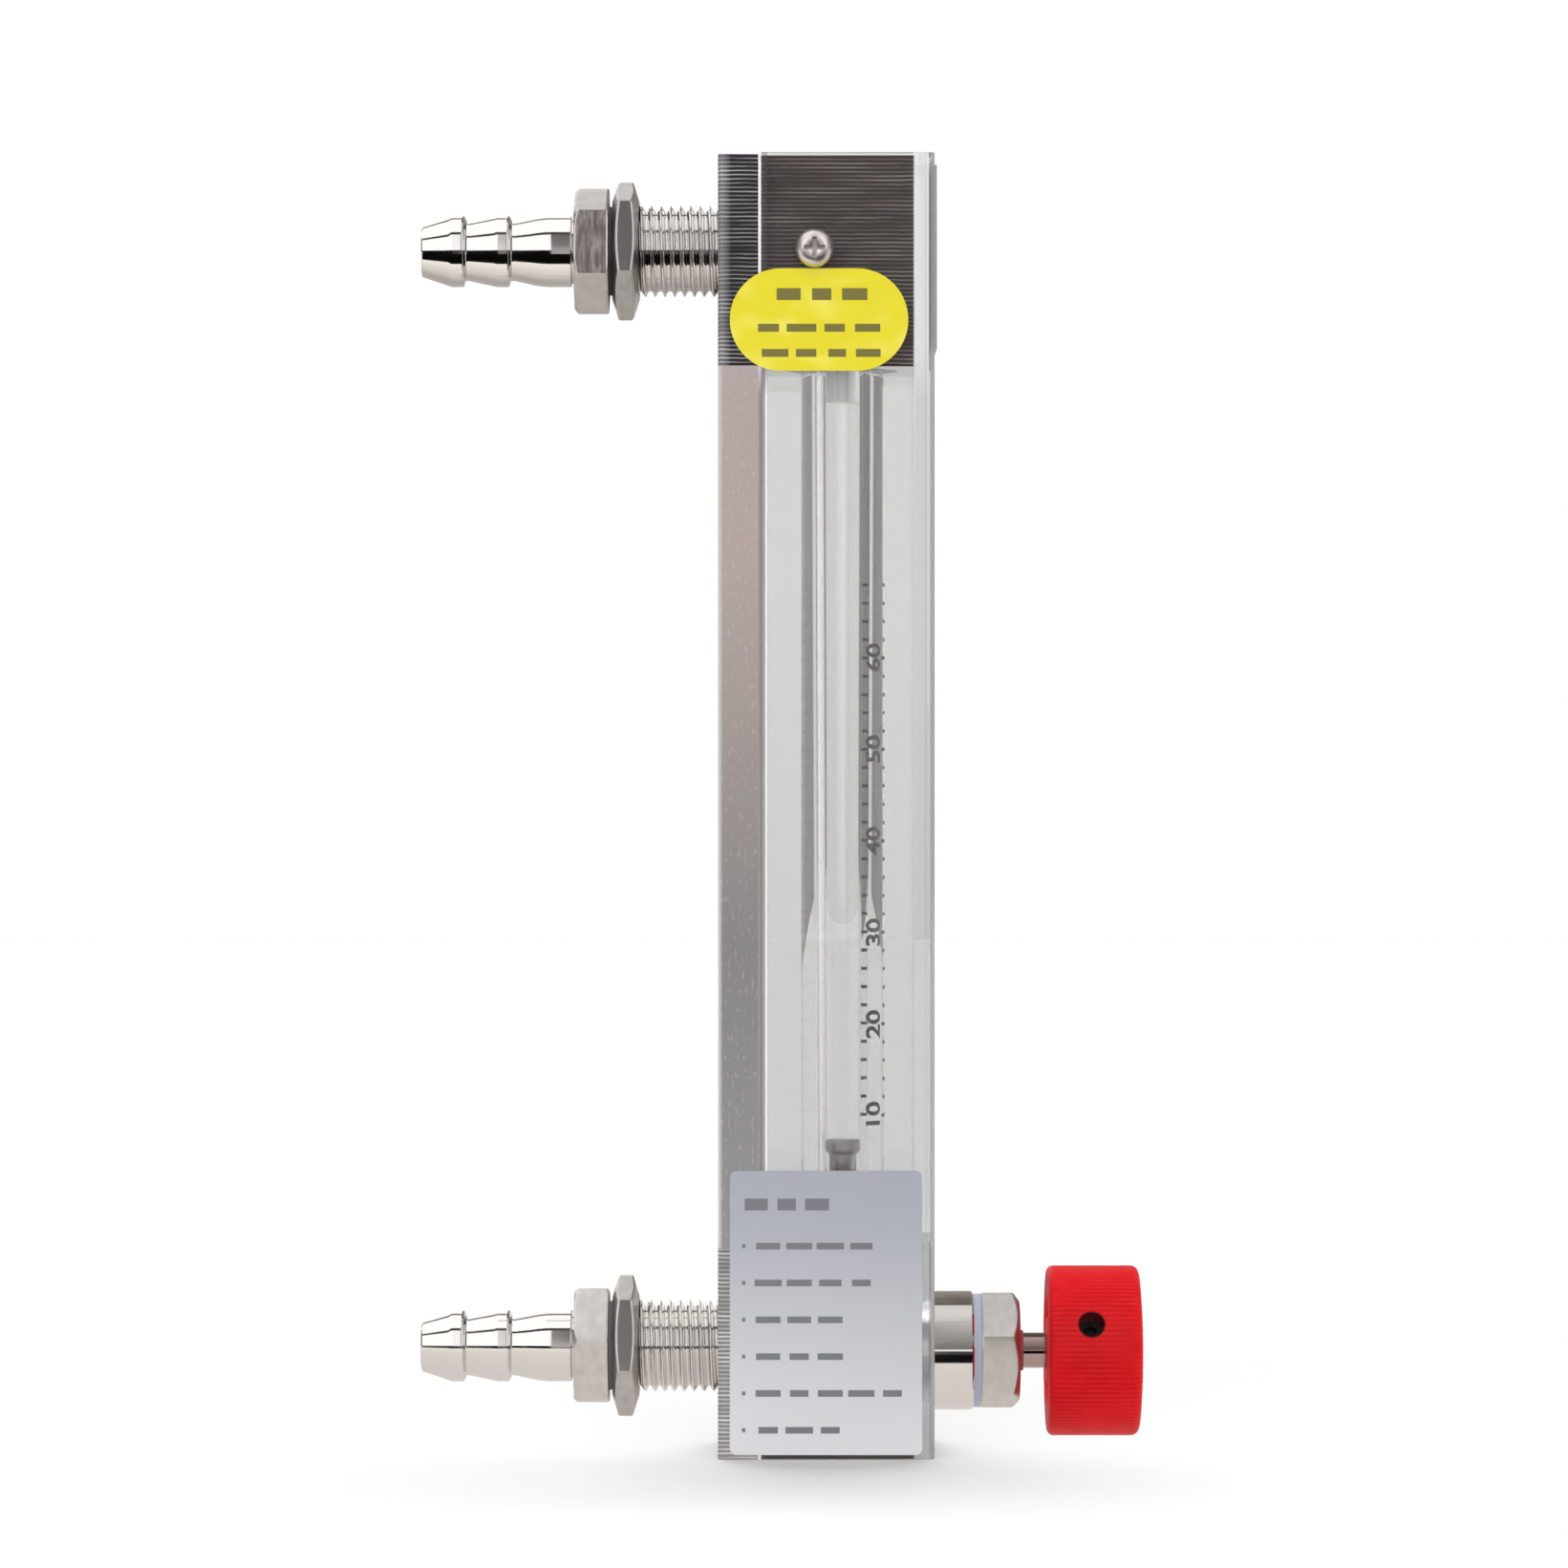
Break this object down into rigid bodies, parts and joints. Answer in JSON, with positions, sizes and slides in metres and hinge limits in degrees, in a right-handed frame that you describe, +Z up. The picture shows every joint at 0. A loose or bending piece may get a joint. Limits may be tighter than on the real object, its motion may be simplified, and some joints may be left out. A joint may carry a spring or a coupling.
{
  "type": "rotameter",
  "caption": "Glass-tube flow meter with end blocks, clear cover, rear hose ports on threaded connectors and a front needle valve with knurled knob.",
  "frame": {"origin": "on the base, under the axis of the glass tube", "axes": "+X to the front and the knob, -X to the hose ports, +Z up along the tube, +Y across"},
  "size_m": [0.1106, 0.0352, 0.1978],
  "materials": {
    "block_aluminium": "fine horizontal milling lines",
    "channel_aluminium": "satin",
    "clear_acrylic": "clear, polished edges",
    "tube_glass": "clear",
    "stainless_steel": "fine turned",
    "nickel_plate": "bright nickel plate",
    "white_plastic": "moulded",
    "blue_washer": "translucent",
    "white_packing": "smooth",
    "black_rubber": "matte",
    "red_rubber": "matte",
    "red_knob": "moulded, fine knurl",
    "black_oxide": "black oxide",
    "yellow_film": "glossy film",
    "silver_film": "silver-white film",
    "plate_metal": "thin satin plate"
  },
  "bodies": {
    "meter": {"upper_block": "block_aluminium", "lower_block": "block_aluminium", "back_channel": "channel_aluminium", "front_cover": "clear_acrylic", "glass_tube": "tube_glass", "cover_screws": "stainless_steel", "channel_screws": "stainless_steel", "top_plug": "stainless_steel", "lower_hose_barb": "nickel_plate", "upper_hose_barb": "nickel_plate", "lower_threaded_connector": "nickel_plate", "upper_threaded_connector": "nickel_plate", "lower_lock_nut": "nickel_plate", "upper_lock_nut": "nickel_plate", "valve_bonnet": "nickel_plate", "gland_nut": "nickel_plate", "lower_stop": "white_plastic", "upper_stop": "white_plastic", "bonnet_washer": "blue_washer", "gland_packing": "white_packing", "plug_gasket": "white_packing", "lower_barb_gasket": "white_packing", "upper_barb_gasket": "white_packing", "lower_port_gasket": "white_packing", "upper_port_gasket": "white_packing", "lower_tube_seal": "black_rubber", "upper_tube_seal": "black_rubber", "wiper_ring": "red_rubber", "side_sticker": "yellow_film", "side_label": "silver_film", "front_plate": "plate_metal"},
    "float": {"metering_float": "stainless_steel"},
    "stem_seal": {"stem_o_ring": "black_rubber"},
    "knob": {"control_knob": "red_knob", "valve_stem": "stainless_steel", "knob_set_screw": "black_oxide"}
  },
  "joints": [
    {"name": "float_rise", "type": "slide", "parent": "meter", "child": "float", "axis": [0, 0, 1], "range_m": [0, 0.1125]},
    {"name": "stem_travel", "type": "slide", "parent": "meter", "child": "stem_seal", "axis": [1, 0, 0], "range_m": [-0.00225, 0.0015]},
    {"name": "knob_turn", "type": "hinge", "parent": "stem_seal", "child": "knob", "pos_m": [0.0385, 0, 0.01525], "axis": [1, 0, 0], "range_deg": [-810, 540]}
  ],
  "couplings": [
    {"joint": "knob_turn", "follows": "stem_travel", "rad_per_m": 6283.2}
  ]
}
